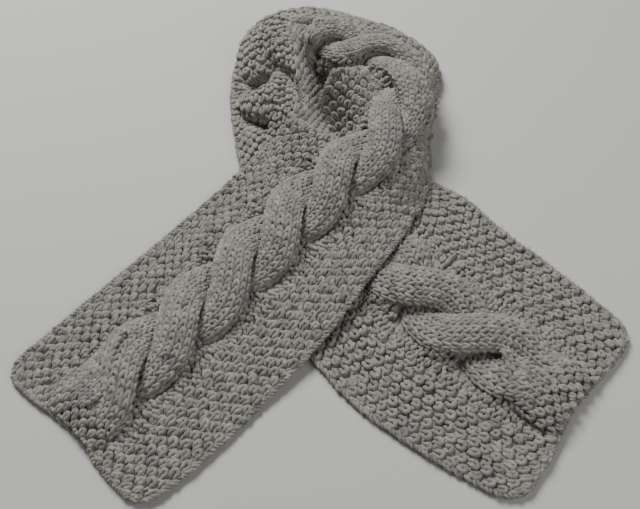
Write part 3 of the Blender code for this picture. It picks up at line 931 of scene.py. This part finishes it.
def loose_fibres(name, paths, count, sizes, rng):
    """Short curled fibres that stand off the yarn, thickest along the selvedges: the wool's halo."""
    roots = np.concatenate(paths)
    roots = roots[roots[:, 3] > ROOT_THICK]
    roots = roots[rng.integers(len(roots), size=count), :3]
    way = rng.normal(size=(count, 3))
    way[:, 2] = np.abs(way[:, 2]) + FIBRE_RISE
    way /= np.linalg.norm(way, axis=1, keepdims=True)
    bent = way + rng.normal(size=(count, 3)) * FIBRE_BEND
    bent /= np.linalg.norm(bent, axis=1, keepdims=True)
    reach = rng.uniform(*FIBRE_HALF, size=(count, 1)) * MM
    first = roots + way * sizes.yarn_radius * ROOT_OUT
    middle = first + way * reach
    points = np.stack([first, middle, middle + bent * reach], axis=1)
    points[:, :, 2] = np.maximum(points[:, :, 2], 2 * sizes.fibre_radius)
    lines = [np.column_stack([fibre, FIBRE_TAPER]) for fibre in points]
    return tubes(name, lines, sizes.fibre_radius, 0, False, wool(False))


def keep(obj, *nodes):
    """Fix a finished piece to the scarf's one body, and hide the CAD parts that it stands in for."""
    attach(obj, "root")
    if nodes:
        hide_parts(*nodes)
    return obj


class SCARF_OT_knit_borders(bpy.types.Operator):
    """Knit the gutters and the moss-stitch borders, with a chained yarn along each selvedge and free end
    """

    bl_idname = "scarf.knit_borders"
    bl_label = "Knit Borders"

    def execute(self, context):
        sizes = context.scene.scarf_sizes
        tree = strip_shell()
        for outer in (False, True):
            places = border_places(outer)
            for name, start, stop in STRETCHES:
                rng = np.random.default_rng(sizes.seed + int(start) + outer)
                paths = []
                for row in rows_between(places, start, stop):
                    paths += seen_runs(border_row(row, places, outer, sizes, rng), tree)
                edges = border_edges(outer, start, stop, sizes, rng)
                name += "_outer" if outer else "_inner"
                keep(wind_yarn(name + "_border", paths + edges, sizes, rng))
                for path in edges:
                    path[:, 3] = 1.0  # Fibres root all along an edge's yarn.
                count = int(sizes.fibres * (stop - start) / 2)
                roots = paths + EDGE_FIBRES * edges
                keep(loose_fibres(name + "_fibres", roots, count, sizes, rng))
        return {"FINISHED"}


class SCARF_OT_knit_cable(bpy.types.Operator):
    """Knit the two strands of the rope cable and the fans at its ends"""

    bl_idname = "scarf.knit_cable"
    bl_label = "Knit Cable"

    def execute(self, context):
        sizes = context.scene.scarf_sizes
        tree = strip_shell()
        places = [row_place(row) for row in range(ROWS)]
        for name, start, stop in STRETCHES:
            rng = np.random.default_rng(sizes.seed + CABLE_SEED + int(start))
            rows = rows_between(places, start, stop)
            paths = []
            for strand in STRANDS:
                for row in rows:
                    if strand == STRANDS[0] or TUCKED_TO < places[row] < TUCKED_FROM:
                        paths += seen_runs(strand_row(row, strand, sizes, rng), tree)
            for row in rows:
                if not FIRST_TIP <= places[row] <= LAST_TIP:
                    paths += seen_runs(tongue_row(row, sizes, rng), tree)
            keep(wind_yarn(name + "_cable", paths, sizes, rng))
        return {"FINISHED"}


class SCARF_OT_lay_cloth(bpy.types.Operator):
    """Lay the thin cloth behind the yarn, a sheet for each stretch that shows"""

    bl_idname = "scarf.lay_cloth"
    bl_label = "Lay Cloth"

    def execute(self, context):
        for name, start, stop in STRETCHES:
            cloth = keep(base_cloth(name + "_cloth", start, stop), name)
        return {"FINISHED"}


class SCARF_OT_set_stage(bpy.types.Operator):
    """Set the pale floor, the soft light and the camera"""

    bl_idname = "scarf.set_stage"
    bl_label = "Set Stage"

    def execute(self, context):
        scene = context.scene
        bm = bmesh.new()
        bmesh.ops.create_grid(bm, x_segments=1, y_segments=1, size=FLOOR_HALF)
        mesh = bpy.data.meshes.new("floor")
        bm.to_mesh(mesh)
        bm.free()
        # Matte paint, rolled on smooth: even and pale, with no shine.
        material = bpy.data.materials.new("matte_painted_floor")
        material.use_nodes = True
        shader = material.node_tree.nodes["Principled BSDF"]
        shader.inputs["Base Color"].default_value = scene.scarf_colours.floor
        shader.inputs["Roughness"].default_value = 0.9
        mesh.materials.append(material)
        add_object("floor", mesh)
        for name, place, size, power in LIGHTS:
            light = bpy.data.lights.new(name, "AREA")
            light.size, light.energy = size, power
            lamp = add_object(name, light)
            lamp.location = place
            lamp.rotation_euler = (-Vector(place)).to_track_quat("-Z", "Y").to_euler()
        world = bpy.data.worlds.new("room_light")
        world.use_nodes = True
        background = world.node_tree.nodes["Background"]
        background.inputs["Color"].default_value = linear("#e8eaec")
        background.inputs["Strength"].default_value = 0.1
        scene.world = world
        camera = bpy.data.cameras.new("camera")
        camera.sensor_width, camera.lens = SENSOR, VIEW_FOCAL / VIEW_WIDE * SENSOR
        eye = add_object("camera", camera)
        down = math.radians(CAMERA_DOWN)
        aim = Vector((-MIDDLE_X * MM, -MIDDLE_Y * MM, 0.0))
        eye.location = aim + CAMERA_AWAY * Vector((0.0, -math.cos(down), math.sin(down)))
        eye.rotation_euler = (math.pi / 2 - down, 0.0, 0.0)
        scene.camera = eye
        return {"FINISHED"}


class SCARF_PT_panel(bpy.types.Panel):
    """Sizes and colours of the scarf, and the steps that make it"""

    bl_label = "Cable Knit Scarf"
    bl_idname = "SCARF_PT_panel"
    bl_space_type = "VIEW_3D"
    bl_region_type = "UI"
    bl_category = "Scarf"

    def draw(self, context):
        for group in (context.scene.scarf_sizes, context.scene.scarf_colours):
            for name in group.__annotations__:
                self.layout.prop(group, name)
        for operator in OPERATORS:
            self.layout.operator(operator.bl_idname)


OPERATORS = (SCARF_OT_knit_borders, SCARF_OT_knit_cable, SCARF_OT_lay_cloth, SCARF_OT_set_stage)
CLASSES = (ScarfSizes, ScarfColours, *OPERATORS, SCARF_PT_panel)


def register():
    for cls in CLASSES:
        bpy.utils.register_class(cls)
    bpy.types.Scene.scarf_sizes = PointerProperty(type=ScarfSizes)
    bpy.types.Scene.scarf_colours = PointerProperty(type=ScarfColours)


def unregister():
    del bpy.types.Scene.scarf_colours
    del bpy.types.Scene.scarf_sizes
    for cls in reversed(CLASSES):
        bpy.utils.unregister_class(cls)


def main():
    register()
    bpy.ops.scarf.knit_borders()
    bpy.ops.scarf.knit_cable()
    bpy.ops.scarf.lay_cloth()
    bpy.ops.scarf.set_stage()


if __name__ == "__main__":
    main()
